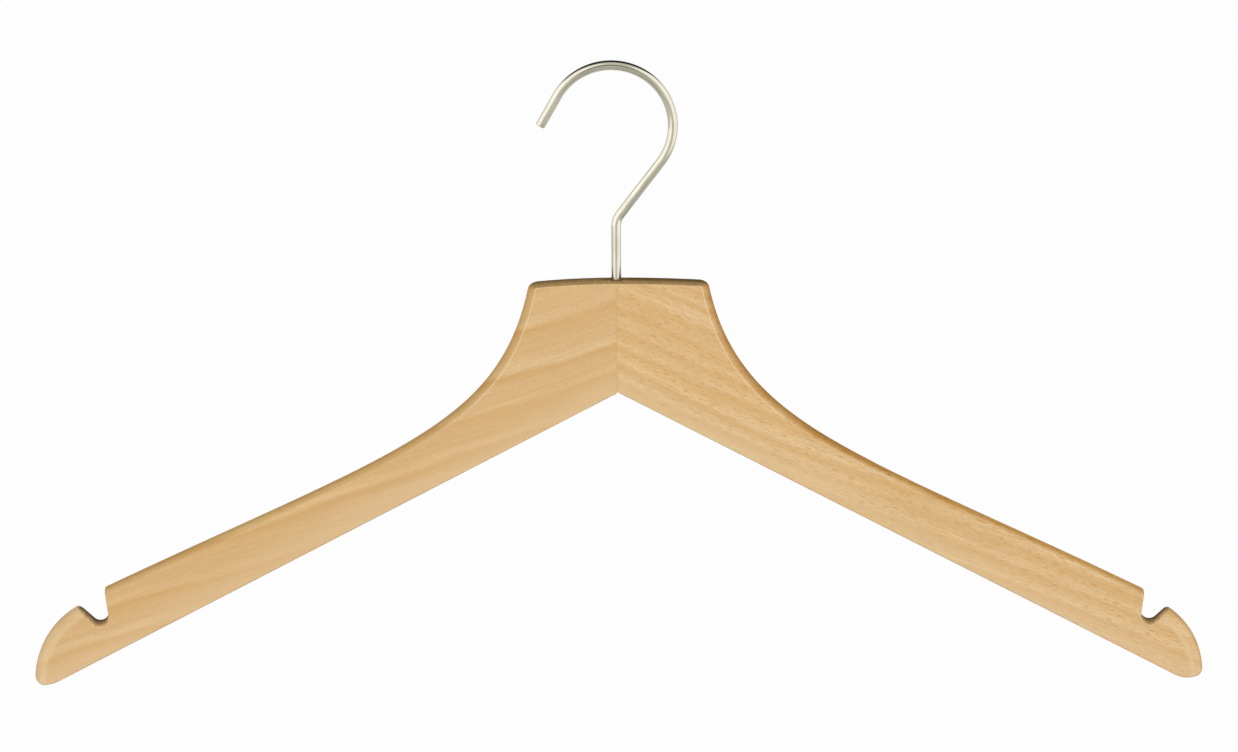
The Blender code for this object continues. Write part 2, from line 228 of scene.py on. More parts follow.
def underside_and_tip(arm):
    """From beyond the joint out along the underside, round the heel and round the tip."""
    centre = tip_centre(arm)
    touch = centre - arm.lobe_centre
    touch_deg = math.degrees(math.atan2(touch[1], touch[0]))
    down_deg = -90 - arm.underside_deg
    turn_deg = down_deg + arm.heel_deg
    turn = math.radians(turn_deg)
    heel_centre = centre - (arm.heel_radius - arm.tip_radius) * np.array((math.cos(turn), math.sin(turn)))
    heel = round_stretch(heel_centre, arm.heel_radius, down_deg, turn_deg, HEEL_POINTS)
    tip = round_stretch(centre, arm.tip_radius, turn_deg, touch_deg, TIP_POINTS)
    corner = worn_corner(arm)
    beyond = straight(corner[0][0] - (PAST_JOINT, 0.0), corner[0][0], 2)
    outwards = straight(corner[0][-1], heel[0][0], UNDERSIDE_POINTS)
    points, inward = joined(beyond, corner, outwards, heel, tip)
    return points, inward, touch_deg


def lobe(arm, touch_deg):
    """The large arc, from where it touches the tip's to beyond the notch's peak."""
    return round_stretch(arm.lobe_centre, arm.lobe_radius, touch_deg, LOBE_TO_DEG, LOBE_POINTS)


for arm in arms:
    print(arm.node, "tip's centre at", tip_centre(arm).round(1))

# %% [markdown]
# ## The notch and the neck's top
# Both are cut after the edges have been rounded: a spindle cutter with a round nose makes the notch, and
# a wide shallow arc is sawn over both arms at once. So they are separate lines, which will be crossed
# with the rounded edge to find the corners. The neck's top is a touch higher in the middle than the
# working model's, because it is also slightly domed from front to back.

# %% What is sawn
NOTCH_FLOOR_RADIUS = 3.2
NOTCH_WALL_LEAN_DEG = 8.0
NOTCH_RISE_DEG = 42.0
NOTCH_SLOPE, NOTCH_WALL = 14.0, 16.0
CROWN_RISE = 0.4
ARC_POINTS, WALL_POINTS = 40, 30


def notch(arm):
    """From above the lobe down the slope, round the floor and up the leaning wall."""
    first_deg, last_deg = 270 + NOTCH_RISE_DEG, 180 - NOTCH_WALL_LEAN_DEG
    floor = round_stretch(arm.notch_floor, NOTCH_FLOOR_RADIUS, first_deg, last_deg, ARC_POINTS)
    first, last = floor[0][0], floor[0][-1]
    slope_top = first + heading(-NOTCH_RISE_DEG, NOTCH_SLOPE)
    wall_top = last + heading(NOTCH_WALL_LEAN_DEG - 90, NOTCH_WALL)
    return joined(straight(slope_top, first, WALL_POINTS), floor, straight(last, wall_top, WALL_POINTS))


def neck_crown(arm):
    """The slightly domed top of the neck, from outside its corner to beyond the joint."""
    centre = (0.0, CROWN_RISE - arm.crown_radius)
    start_deg = math.degrees(math.acos((arm.neck_half_width + RUN_ON) / arm.crown_radius))
    end_deg = math.degrees(math.acos(-PAST_JOINT / arm.crown_radius))
    return round_stretch(centre, arm.crown_radius, start_deg, end_deg, ARC_POINTS)


print("the notches are", [round(arm.notch_floor[0], 1) for arm in arms], "mm out")

# %% [markdown]
# ## How the edges are rounded
# The upper edges and the lobes are rounded over the whole thickness of the wood, like a well-worn stair
# nose, while the underside only has its edges broken. `edge_inset` gives the rounding with one rule: how
# far the surface is set in from the outline at a distance `y` from the middle of the thickness. The
# neck's sides and the sawn faces are one shallow arc that meets the face in a crisp line, and this line
# fades along the arm.

# %% The rounding rule
UNDERSIDE_EASE = 0.5
CRISP_EASE = 0.35
NOTCH_ROUND, CROWN_ROUND = 0.15, 0.45


def broken_edge(y, radius):
    """A flat wall with a small quarter round at the face."""
    into = max(0.0, abs(y) - (half_thickness - radius))
    return radius - math.sqrt(max(0.0, radius**2 - into**2))


def edge_inset(y, depth, crispness):
    """A rounding over the whole thickness: an ellipse into the face, or an arc with an eased end."""
    ellipse = depth * (1 - math.sqrt(max(0.0, 1 - (y / half_thickness) ** 2)))
    radius = (half_thickness**2 + depth**2) / (2 * depth)
    arc = radius - np.sqrt(radius**2 - y**2) + broken_edge(y, CRISP_EASE)
    return crispness * arc + (1 - crispness) * ellipse


def smooth_step(value, low, high):
    t = np.clip((np.asarray(value) - low) / (high - low), 0.0, 1.0)
    return t * t * (3 - 2 * t)


for y in (0.0, half_thickness / 2, half_thickness):
    inset = edge_inset(y, left_arm.neck_round, 1.0)
    print(f"{y:.0f} mm from the middle the neck's side is set in by {inset:.2f} mm")

# %% [markdown]
# ## Crossing and trimming lines
# The arm will be built like a stack of thin veneers: for each distance `y` through the thickness one
# closed outline is worked out, with the rounding already in it. Each outline crosses the sawn lines at
# its own place, so the corners of notch and neck come out as on real wood, where a saw cuts through a
# rounded edge.

# %% Crossing and trimming lines
CORNER_POINTS = 9


def distances_along(points):
    return np.concatenate(([0.0], np.cumsum(np.linalg.norm(np.diff(points, axis=0), axis=1))))


def crossing(first, second):
    """How far along each of two lines they cross."""
    start, step = first[:-1, None], np.diff(first, axis=0)[:, None]
    other_start, other_step = second[None, :-1], np.diff(second, axis=0)[None]
    turn = step[..., 0] * other_step[..., 1] - step[..., 1] * other_step[..., 0]
    apart = other_start - start
    on_first = (apart[..., 0] * other_step[..., 1] - apart[..., 1] * other_step[..., 0]) / turn
    on_second = (apart[..., 0] * step[..., 1] - apart[..., 1] * step[..., 0]) / turn
    hit = (on_first >= 0) & (on_first < 1) & (on_second >= 0) & (on_second < 1)
    i, j = np.argwhere(hit)[0]
    lengths, other_lengths = distances_along(first), distances_along(second)
    return (
        lengths[i] + on_first[i, j] * (lengths[i + 1] - lengths[i]),
        other_lengths[j] + on_second[i, j] * (other_lengths[j + 1] - other_lengths[j]),
    )


def point_on(points, distance):
    """The point at a distance along a line; many distances give many points."""
    lengths = distances_along(points)
    return np.column_stack([np.interp(distance, lengths, points[:, k]) for k in (0, 1)])


def soft_corner(before, corner, after):
    """A rounded corner from one line's end to the next one's start, without those two points."""
    t = np.linspace(0.0, 1.0, CORNER_POINTS + 2)[1:-1, None]
    return (1 - t) ** 2 * before + 2 * t * (1 - t) * corner + t**2 * after


lobe_end = crossing(lobe(left_arm, 0.0)[0], notch(left_arm)[0])[0]
print(f"the left lobe ends at its notch {lobe_end:.1f} mm past its outermost point")

# %% [markdown]
# ## One slice
# A slice is put together from its stretches. Every corner between two of them is rounded, most in the
# middle of the thickness and least at the faces, because a sanding belt bends round the wood as it passes
# over it. The flags say which points are on the notch, which was cut last and has bare wood.

# %% One slice
NECK_CORNER = (0.6, 2.0)
NOTCH_CORNER = (0.4, 1.1)
NOTCH_PEAK = (0.3, 0.6)
LOBE_CRISPNESS = 0.6
TIP_SHARE = 0.8
EASE_FROM_JOINT = 2.5
LOBE_STEPS, NOTCH_STEPS, TOP_STEPS, CROWN_STEPS = 50, 56, 120, 26


def corner_reach(sizes, y):
    """How far a corner's rounding reaches: from its size at the face to the one in the middle."""
    at_face, in_middle = sizes
    return at_face + (in_middle - at_face) * math.sqrt(max(0.0, 1 - (y / half_thickness) ** 2))


def rounded_stretches(arm, y):
    """The lines of an arm's outline at a distance y from the middle: base, lobe, notch, top and crown."""
    base, base_in, touch_deg = underside_and_tip(arm)
    facing_deg = np.degrees(np.arctan2(-base_in[:, 1], -base_in[:, 0]))
    outer_half = base[:, 0] > arm.lobe_centre[0] / 2
    at_tip = smooth_step(facing_deg, -90 - arm.underside_deg, touch_deg) * outer_half
    tip_inset = edge_inset(y, min(arm.lobe_round, TIP_SHARE * arm.tip_radius), LOBE_CRISPNESS)
    broken = broken_edge(y, UNDERSIDE_EASE) * smooth_step(base[:, 0], 0.0, EASE_FROM_JOINT)
    base = base + base_in * ((1 - at_tip) * broken + at_tip * tip_inset)[:, None]
    lobe_line, lobe_in = lobe(arm, touch_deg)
    past_tip = smooth_step(np.arange(LOBE_POINTS), 0, LOBE_POINTS / 2)
    lobe_inset = edge_inset(y, arm.lobe_round, LOBE_CRISPNESS)
    lobe_line = lobe_line + lobe_in * (tip_inset + past_tip * (lobe_inset - tip_inset))[:, None]
    top, top_in = upper_edge(arm)
    along_arm = smooth_step(top[:, 0], arm.crisp_to, arm.soft_from)
    depth = arm.neck_round + (arm.top_round - arm.neck_round) * along_arm
    top = top + top_in * edge_inset(y, depth, 1 - along_arm)[:, None]
    notch_line, notch_in = notch(arm)
    notch_line = notch_line + notch_in * edge_inset(y, NOTCH_ROUND, 1.0)
    crown, crown_in = neck_crown(arm)
    crown = crown + crown_in * edge_inset(y, CROWN_ROUND, 1.0)
    return base, lobe_line, notch_line, top, crown


def slice_outline(arm, y):
    """The closed outline at a distance y from the middle, and which of its points are in the notch."""
    base, lobe_line, notch_line, top, crown = rounded_stretches(arm, y)
    lobe_end, notch_start = crossing(lobe_line, notch_line)
    notch_end, top_start = crossing(notch_line, top)
    top_end, crown_start = crossing(top, crown)
    at_peak, at_notch, at_neck = [corner_reach(sizes, y) for sizes in (NOTCH_PEAK, NOTCH_CORNER, NECK_CORNER)]
    crown_end = distances_along(crown)[-1]
    lobe_part = point_on(lobe_line, np.linspace(0.0, lobe_end - at_peak, LOBE_STEPS))[1:]
    notch_part = point_on(notch_line, np.linspace(notch_start + at_peak, notch_end - at_notch, NOTCH_STEPS))
    top_part = point_on(top, np.linspace(top_start + at_notch, top_end - at_neck, TOP_STEPS))
    crown_part = point_on(crown, np.linspace(crown_start + at_neck, crown_end, CROWN_STEPS))
    peak = soft_corner(lobe_part[-1], point_on(lobe_line, lobe_end), notch_part[0])
    notch_corner = soft_corner(notch_part[-1], point_on(top, top_start), top_part[0])
    neck_corner = soft_corner(top_part[-1], point_on(crown, crown_start), crown_part[0])
    parts = (base, lobe_part, peak, notch_part, notch_corner, top_part, neck_corner, crown_part)
    in_notch = np.concatenate([np.full(len(part), part is notch_part) for part in parts])
    return np.concatenate(parts), in_notch


print("one slice has", len(slice_outline(left_arm, 0.0)[0]), "points")

# %% [markdown]
# ## From slices to a solid blank
# The slices lie closer together towards the two faces, where the rounding bends most. bmesh joins each
# slice to the next with a band of quads and closes the two outer ones with one flat face each, which is
# the front and the back of the arm. Faces in the notch get the second material slot.

# %% The blank
SLICES_PER_SIDE = 14
levels = [
    half_thickness * math.sin(math.pi / 2 * math.sin(math.pi / 2 * k / SLICES_PER_SIDE))
    for k in range(-SLICES_PER_SIDE, SLICES_PER_SIDE + 1)
]


def new_piece(name, shape):
    """A bmesh turned into an object of the scene."""
    bmesh.ops.recalc_face_normals(shape, faces=shape.faces)
    mesh = bpy.data.meshes.new(name)
    shape.to_mesh(mesh)
    shape.free()
    piece = bpy.data.objects.new(name, mesh)
    bpy.context.scene.collection.objects.link(piece)
    return piece


def skin(shape, rings):
    """Joins each ring of vertices to the next with a band of faces; a ring may be one vertex."""
    faces = []
    for ring, next_ring in zip(rings, rings[1:]):
        for i in range(max(len(ring), len(next_ring))):
            corners = [ring[i % len(ring)], ring[(i + 1) % len(ring)]]
            corners += [next_ring[(i + 1) % len(next_ring)], next_ring[i % len(next_ring)]]
            faces.append(shape.faces.new(list(dict.fromkeys(corners))))
    return faces


def arm_blank(arm):
    """One arm with its rounded edges, its notch and the neck's top, reaching past the joint."""
    shape = bmesh.new()
    rings = []
    for y in levels:
        outline, in_notch = slice_outline(arm, y)
        rings.append([
            shape.verts.new((arm.side * x * MM, y * MM, (neck_top + z) * MM)) for x, z in outline
        ])
    notched = in_notch & np.roll(in_notch, -1)
    for face, bare in zip(skin(shape, rings), np.tile(notched, len(rings) - 1)):
        face.material_index = int(bare)
    shape.faces.new(rings[0])
    shape.faces.new(reversed(rings[-1]))
    return new_piece(arm.name, shape)


blanks = {arm.node: arm_blank(arm) for arm in arms}
for piece in blanks.values():
    print(piece.name, len(piece.data.polygons), "faces, size", [round(d / MM, 1) for d in piece.dimensions])

# %% [markdown]
# ## Cutters
# The two arms are glued with tongues that reach into each other, like the fingers of two hands. Inside
# they can't be seen, but the joint shows on the neck's face, as a hair-thin line where the grain turns.
# The bore for the hook runs down that joint, and the hole for its pin comes in from the back. Each cut is
# a solid of its own: a plan given height for the saw, and a profile turned round an axis for a drill.

# %% Two ways to make a cutter
def prism(name, plan, low, high):
    """A plan given height."""
    shape = bmesh.new()
    rings = [[shape.verts.new((x * MM, y * MM, z * MM)) for x, y in plan] for z in (low, high)]
    skin(shape, rings)
    shape.faces.new(rings[0])
    shape.faces.new(rings[1])
    return new_piece(name, shape)


def turned(name, profile, centre, axis="Z", steps=64):
    """A profile of (radius, height), closed at both ends, turned round an axis through centre."""
    shape = bmesh.new()
    turns = [2 * math.pi * k / steps for k in range(steps)]
    rings = []
    for radius, height in profile:
        places = [(radius * math.cos(a) * MM, radius * math.sin(a) * MM, height * MM) for a in turns]
        rings.append([shape.verts.new(place) for place in (places if radius else places[:1])])
    skin(shape, rings)
    piece = new_piece(name, shape)
    for vertex in piece.data.vertices:
        x, y, z = vertex.co
        vertex.co = Vector(centre) * MM + Vector((x, y, z) if axis == "Z" else (x, z, -y))
    return piece


# %% [markdown]
# The joint's plan steps from tongue to tongue, as seen from above. The bore has a countersunk mouth,
# which takes away the splinters that a drill raises.

# %% Saws and drills
JOINT_LAYERS = (0, 1, -1, 1, 0)
TONGUE_LENGTH = 5.0
JOINT_GAP = 0.006
JOINT_SAW_DEPTH = 60.0
SAW_ROOM = 4.0
WIRE_RADIUS = 1.9
SWIVEL_ROOM = 0.25
COUNTERSINK = 0.8
BORE_DEPTH, BORE_POINT = 26.0, 1.3
PIN_RADIUS = 0.75
PIN_ROOM = 0.15
PIN_SUNK, PIN_FRONT = 0.3, -3.5
PIN_BACK = half_thickness - PIN_SUNK


def joint_plan(side):
    """Seen from above, what the joint takes off the arm on one side."""
    layer = 2 * half_thickness / len(JOINT_LAYERS)
    back_off = side * JOINT_GAP / 2
    front = -half_thickness - SAW_ROOM
    plan = [(back_off, front)]
    for i, reach in enumerate(JOINT_LAYERS[:-1]):
        further = math.copysign(1, JOINT_LAYERS[i + 1] - reach)
        y = -half_thickness + (i + 1) * layer - further * back_off
        plan.append((reach * TONGUE_LENGTH + back_off, y))
        plan.append((JOINT_LAYERS[i + 1] * TONGUE_LENGTH + back_off, y))
    far = -side * (TONGUE_LENGTH + 2 * SAW_ROOM)
    return plan + [(back_off, -front), (far, -front), (far, front)]


saw_low, saw_high = neck_top - JOINT_SAW_DEPTH, neck_top + SAW_ROOM
joint_saws = {
    arm.node: prism(arm.node + "_joint_saw", joint_plan(arm.side), saw_low, saw_high) for arm in arms
}
bore_radius = WIRE_RADIUS + SWIVEL_ROOM
bore_drill = turned("bore_drill", [
    (0.0, SAW_ROOM),
    (bore_radius + COUNTERSINK + SAW_ROOM, SAW_ROOM),
    (bore_radius, -COUNTERSINK),
    (bore_radius, -BORE_DEPTH),
    (0.0, -BORE_DEPTH - BORE_POINT),
], (0.0, 0.0, neck_top + CROWN_RISE))

pin_low, pin_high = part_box("retaining_pin")
pin_centre = (pin_low + pin_high) / 2 / MM
pin_drill = turned("pin_drill", [
    (0.0, half_thickness + SAW_ROOM),
    (PIN_RADIUS + PIN_ROOM, half_thickness + SAW_ROOM),
    (PIN_RADIUS + PIN_ROOM, PIN_FRONT - PIN_ROOM),
    (0.0, PIN_FRONT - PIN_ROOM),
], (pin_centre.x, 0.0, pin_centre.z), axis="Y")
print("the pin's hole is", round(neck_top - pin_centre.z, 1), "mm below the neck's top")

# %% [markdown]
# ## Nodes in few words
# Every finish here is a small tree of nodes. Written out one by one they are long, so a helper adds a
# node, names its settings and feeds its sockets. It also knows what all wood and metal need: a little
# arithmetic, a noise that is stretched along one direction, with its sizes in millimetres, and a smooth
# ramp from one value to another.

# %% Node helper
class Nodes:
    """Short ways to add nodes to the tree of a material or a world."""

    def __init__(self, tree):
        self.tree = tree

    def add(self, kind, **settings):
        node = self.tree.nodes.new("ShaderNode" + kind)
        for key, value in settings.items():
            setattr(node, key, value)
        return node

    def feed(self, node, **sockets):
        """Sets sockets by name or, after an underscore, by number: to a value or from another socket."""
        for key, value in sockets.items():
            socket = node.inputs[int(key[1:])] if key[0] == "_" else node.inputs[key.replace("_", " ")]
            if isinstance(value, bpy.types.NodeSocket):
                self.tree.links.new(value, socket)
            else:
                socket.default_value = value
        return node

    def math(self, operation, first, second=0.0):
        return self.feed(self.add("Math", operation=operation), _0=first, _1=second).outputs["Value"]

    def vector(self, operation, first, second=(0.0, 0.0, 0.0), result="Vector"):
        """Vector maths; a length, distance or dot product comes out as "Value"."""
        return self.feed(self.add("VectorMath", operation=operation), _0=first, _1=second).outputs[result]

    def part(self, vector, axis):
        """One coordinate of a vector."""
        return self.feed(self.add("SeparateXYZ"), Vector=vector).outputs[axis]

    def ramp(self, value, low, high, to_low=0.0, to_high=1.0):
        """Maps a range of values smoothly onto another."""
        node = self.add("MapRange", interpolation_type="SMOOTHSTEP")
        self.feed(node, Value=value, From_Min=low, From_Max=high, To_Min=to_low, To_Max=to_high)
        return node.outputs["Result"]

    def mix(self, share, first, second, blend="MIX"):
        """Mixes two colours by a share."""
        node = self.add("Mix", data_type="RGBA", blend_type=blend)
        return self.feed(node, _0=share, _6=first, _7=second).outputs[2]

    def noise(self, place, size, detail=2.0, roughness=0.5, seed=0.0):
        """A noise whose features are of a given size in millimetres, as (along, through, across)."""
        mapping = self.feed(
            self.add("Mapping"), Vector=place,
            Location=(seed, seed * 0.7, seed * 1.3), Scale=tuple(1 / (s * MM) for s in size),
        )
        texture = self.add("TexNoise")
        self.feed(texture, Vector=mapping.outputs["Vector"], Scale=1.0, Detail=detail, Roughness=roughness)
        return texture.outputs["Fac"]


class Finish(Nodes):
    """The nodes of a new material with a Principled shader."""

    def __init__(self, name):
        self.material = bpy.data.materials.new(name)
        self.material.use_nodes = True
        super().__init__(self.material.node_tree)
        self.shader = self.tree.nodes["Principled BSDF"]
        self.place = self.add("TexCoord").outputs["Object"]
        self.facing = self.add("TexCoord").outputs["Normal"]

    def relief(self, height, depth):
        """Bump of a given depth in millimetres."""
        bump = self.feed(self.add("Bump"), Height=height, Distance=depth * MM, Strength=1.0)
        self.feed(self.shader, Normal=bump.outputs["Normal"])


def linear(red, green, blue):
    """An sRGB colour, 0 to 255, as Blender's linear one."""
    parts = [value / 255 for value in (red, green, blue)]
    return (*[p / 12.92 if p <= 0.04045 else ((p + 0.055) / 1.055) ** 2.4 for p in parts], 1.0)


print("a mid grey of 128 is", round(linear(128, 128, 128)[0], 3), "in Blender's linear colours")

# %% [markdown]
# ## Beech: the year rings
# A year's growth in beech is a soft band: it sets in with a narrow pale stripe, turns warm and orange
# beside it and fades to tan towards the next. A board that is cut at a shallow angle shows the bands wide
# apart, and they wander, because no tree is straight. So the height above the grain's direction is
# divided by the distance between two rings, a noise lets it drift, and what is left after the whole
# number picks the colour.

# %% Year rings
TRUNK_BEND, TRUNK_RIPPLE = ((160, 80, 90), 10.0), ((16, 12, 9), 1.6)
DRIFT_ALONG, DRIFT_THROUGH, DRIFT_GAPS = 140, 40, 1.6


def swing(wood, place, wave, detail, seed):
    """A noise of a given size that swings about nought by a given depth in millimetres."""
    size, depth = wave
    about_nought = wood.math("SUBTRACT", wood.noise(place, size, detail=detail, seed=seed), 0.5)
    return wood.math("MULTIPLY", about_nought, depth * MM)


def along_the_grain(wood, grain_deg, seed):
    """The surface's place with X turned along the grain, and bent a little as the trunk was."""
    turn = (0.0, math.radians(grain_deg), 0.0)
    place = wood.feed(wood.add("Mapping"), Vector=wood.place, Rotation=turn).outputs["Vector"]
    bend = swing(wood, place, TRUNK_BEND, 0.0, seed)
    ripple = swing(wood, place, TRUNK_RIPPLE, 1.0, seed + 7)
    shift = wood.feed(wood.add("CombineXYZ"), Z=wood.math("ADD", bend, ripple)).outputs["Vector"]
    return wood.vector("ADD", place, shift)


def year_rings(wood, place, gap, wander, stops, seed):
    """The colour of the year rings, from stops of (share of the ring, colour)."""
    drift = wood.noise(place, (DRIFT_ALONG, DRIFT_THROUGH, DRIFT_GAPS * gap), detail=1.0, seed=seed)
    level = wood.math("DIVIDE", wood.part(place, "Z"), gap * MM)
    level = wood.math("ADD", level, wood.math("MULTIPLY", drift, wander))
    bands = wood.feed(wood.add("ValToRGB"), Fac=wood.math("FRACT", level))
    for share, colour in stops[2:]:
        bands.color_ramp.elements.new(share)
    for element, (share, colour) in zip(bands.color_ramp.elements, stops):
        element.position, element.color = share, colour
    return bands.outputs["Color"]


TAN = linear(223, 189, 140)
print("plain beech is", [round(part, 3) for part in TAN[:3]])

# %% [markdown]
# ## Beech: places on the arm
# A finish that changes over the arm has to know where it is. The surface's place gives the distance from
# the joint, and the direction that the surface faces tells a flat face from a rounded edge, so nothing
# has to be painted by hand. The face is a little paler towards the underside, and where the two arms are
# glued there is a soft, slightly darker line. Sizes here are in millimetres.

# %% Places on the arm
PALE_HEIGHT, PALE_SHARE = 15.0, 0.5
GLUE_LINE, GLUE_SHARE = 0.8, 0.18


def from_the_joint(wood):
    """The distance from the joint, on either side."""
    return wood.math("ABSOLUTE", wood.part(wood.place, "X"))


def by_distance(wood, start, end, at_start=0.0, at_end=1.0):
    """Changes from one value to another between two distances from the joint, in millimetres."""
    return wood.ramp(from_the_joint(wood), start * MM, end * MM, at_start, at_end)


def paler_below(wood, colour, arm):
    """The lower part of the face is a little paler."""
    slope = wood.math("MULTIPLY", from_the_joint(wood), math.tan(math.radians(arm.underside_deg)))
    height = wood.math("ADD", wood.part(wood.place, "Z"), slope)
    low = (neck_top + arm.underside_at_joint) * MM
    share = wood.ramp(height, low, low + PALE_HEIGHT * MM, PALE_SHARE, 0.0)
    return wood.mix(share, colour, linear(229, 199, 155))


def glue_line(wood, colour):
    """A soft, slightly darker line where the two arms are glued."""
    return wood.mix(by_distance(wood, 0.0, GLUE_LINE, GLUE_SHARE, 0.0), colour, linear(196, 150, 96))


print("the glue line fades over", GLUE_LINE, "mm")

# %% [markdown]
# ## Beech: rounded edges, with painted shade
# Sanding turns the grain's side up along the rounded edges, and the lacquer soaks in there, so they are
# more orange than the face and partly darker; the rest of their darkening is painted shade. Painted shade
# also makes them darkest where they are steepest and where they face down. They are most orange at the
# neck, where a painted highlight draws a pale line along the arris. The first three lines of numbers
# say how squarely the surface faces the front or the back, from 0 on the outline to 1 on the flat face.
# `UNDERNEATH` says how far it faces up, and the line after it gives distances from the joint.

# %% Rounded edges, with painted shade
TINT_WHOLE, TINT_ENDS, TINT_ENDS_FADED = 0.1, 0.97, 0.46
STEEP_ENDS = 0.3
# The next line places the painted highlight along the arris at the neck.
ARRIS_HIGHLIGHT_STARTS, ARRIS_HIGHLIGHT_ENDS = (0.76, 0.9), (0.97, 0.998)
UNDERNEATH = (-0.7, -0.2)
NECK_TINT_TO, LOBE_TINT_BETWEEN, ARRIS_HIGHLIGHT_FADES = 40.0, (190.0, 205.0), (45.0, 75.0)
# Colours of the painted shade on the steep parts of the edges and on surfaces that face down.
STEEP_PAINTED_SHADE, UNDERNEATH_PAINTED_SHADE = (0.82, 0.77, 0.70, 1.0), (0.80, 0.76, 0.70, 1.0)
ARRIS_HIGHLIGHT_SHARE = 0.6


def towards_face(wood):
    """How squarely the surface faces the front or the back."""
    return wood.math("ABSOLUTE", wood.part(wood.facing, "Y"))


def edge_tint_and_painted_shade(wood, colour, arm, neck_tint, outer_tint, lobe_tint):
    """Darkens the rounded edges along the arm, partly in their own colour and partly as painted shade."""
    tint = wood.mix(by_distance(wood, NECK_TINT_TO, arm.tint_settled), neck_tint, outer_tint)
    tint = wood.mix(by_distance(wood, *LOBE_TINT_BETWEEN), tint, lobe_tint)
    tint_ends = by_distance(wood, arm.fades_from, arm.faded_to, TINT_ENDS, TINT_ENDS_FADED)
    rounded = wood.ramp(towards_face(wood), TINT_WHOLE, tint_ends, 1.0, 0.0)
    # Painted shade: darkest where the edge is steepest and where the surface faces down.
    steep_painted_shade = wood.ramp(towards_face(wood), 0.0, STEEP_ENDS, 1.0, 0.0)
    painted_shade_below = wood.ramp(wood.part(wood.facing, "Z"), *UNDERNEATH, 1.0, 0.0)
    for share, shade in ((rounded, tint), (steep_painted_shade, STEEP_PAINTED_SHADE), (painted_shade_below, UNDERNEATH_PAINTED_SHADE)):
        colour = wood.mix(share, colour, shade, "MULTIPLY")
    return colour


def painted_arris_highlight(wood, colour):
    """A painted highlight: a pale line along the arris at the neck."""
    starts = wood.ramp(towards_face(wood), *ARRIS_HIGHLIGHT_STARTS)
    ends = wood.ramp(towards_face(wood), *ARRIS_HIGHLIGHT_ENDS, 1.0, 0.0)
    fades = by_distance(wood, *ARRIS_HIGHLIGHT_FADES, ARRIS_HIGHLIGHT_SHARE, 0.0)
    highlight_share = wood.math("MULTIPLY", wood.math("MULTIPLY", starts, ends), fades)
    return wood.mix(highlight_share, colour, linear(240, 212, 166))


print("an edge counts as rounded from", round(math.degrees(math.acos(TINT_ENDS))), "degrees off the face")

# %% [markdown]
# ## Beech: the rim of the lobe
# Round the lobe the face is paler, in a rim. It follows the lobe's circle, so its nodes measure the
# distance from the lobe's centre, and it begins only outside the notch. On the right arm the rim is
# palest a little inside the edge, and on the left it stays nearly as pale up to it.

# %% The rim of the lobe
RIM_BLENDS_IN, RIM_EASES, RIM_PAST_NOTCH = 1.5, (2.0, 3.5), (2.0, 7.0)


def pale_rim(wood, colour, arm, width, share, share_at_edge):
    """The lobe's rim is paler, in a band that starts a given width from the edge."""
    centre = (arm.side * arm.lobe_centre[0] * MM, 0.0, (neck_top + arm.lobe_centre[1]) * MM)
    flat = wood.vector("MULTIPLY", wood.vector("SUBTRACT", wood.place, centre), (1.0, 0.0, 1.0))
    reach = wood.vector("LENGTH", flat, result="Value")
    inner = arm.lobe_radius - width
    rim = wood.ramp(reach, inner * MM, (inner + RIM_BLENDS_IN) * MM)
    eases = [(inner + step) * MM for step in RIM_EASES]
    rim = wood.math("MULTIPLY", rim, wood.ramp(reach, *eases, share, share_at_edge))
    past_notch = by_distance(wood, *[arm.notch_floor[0] + step for step in RIM_PAST_NOTCH])
    return wood.mix(wood.math("MULTIPLY", rim, past_notch), colour, linear(232, 203, 158))


rim_starts = [round(arm.notch_floor[0] + RIM_PAST_NOTCH[0], 1) for arm in arms]
print("the rims begin", rim_starts, "mm from the joint")

# %% [markdown]
# ## Beech: sawn wood, with painted shade
# The notch and the neck's top were sawn last. Their bare wood is darker than the face, partly in its own
# colour and partly as painted shade, and painted shade darkens it more towards the back. The saw leaves
# cloudy blotches and fine marks that run from face to face. On the neck's top this colour shows only
# where the surface faces up, near the top.

# %% Sawn wood, with painted shade
SAW_BLOTCHES, SAW_MARKS = (8, 6, 8), (0.6, 14, 0.6)
ON_TOP, SAWN_TOP_ABOVE = (0.62, 0.95), (-9.0, -7.0)


def sawn_colour_with_painted_shade(wood, front, back, seed, shade_darkest_at=half_thickness):
    """Bare sawn wood with blotches and marks from face to face, and painted shade towards the back."""
    blotches = wood.noise(wood.place, SAW_BLOTCHES, seed=seed)
    marks = wood.noise(wood.place, SAW_MARKS, seed=seed + 1)
    depth = wood.part(wood.place, "Y")
    # Painted shade: the colour turns from the front one to the darker back one towards the back face.
    colour = wood.mix(wood.ramp(depth, -half_thickness * MM, shade_darkest_at * MM), front, back)
    scorch = wood.ramp(blotches, 0.35, 0.65, 0.0, 0.12)
    shade = wood.math("ADD", scorch, wood.ramp(marks, 0.35, 0.7, 0.0, 0.25))
    return wood.mix(shade, colour, linear(104, 78, 40))


def sawn_neck_top_with_painted_shade(wood, colour, arm, seed):
    """Puts the sawn wood, with its painted shade, on the neck's top."""
    upwards = wood.ramp(wood.part(wood.facing, "Z"), *ON_TOP)
    high = wood.ramp(wood.part(wood.place, "Z"), *[(neck_top + step) * MM for step in SAWN_TOP_ABOVE])
    # The darker back colour is painted shade.
    sawn = sawn_colour_with_painted_shade(wood, linear(198, 163, 109), linear(106, 80, 40), seed, arm.top_shade_darkest_at)
    return wood.mix(wood.math("MULTIPLY", upwards, high), colour, sawn)


print("the saw's marks are", SAW_MARKS[0], "mm wide")

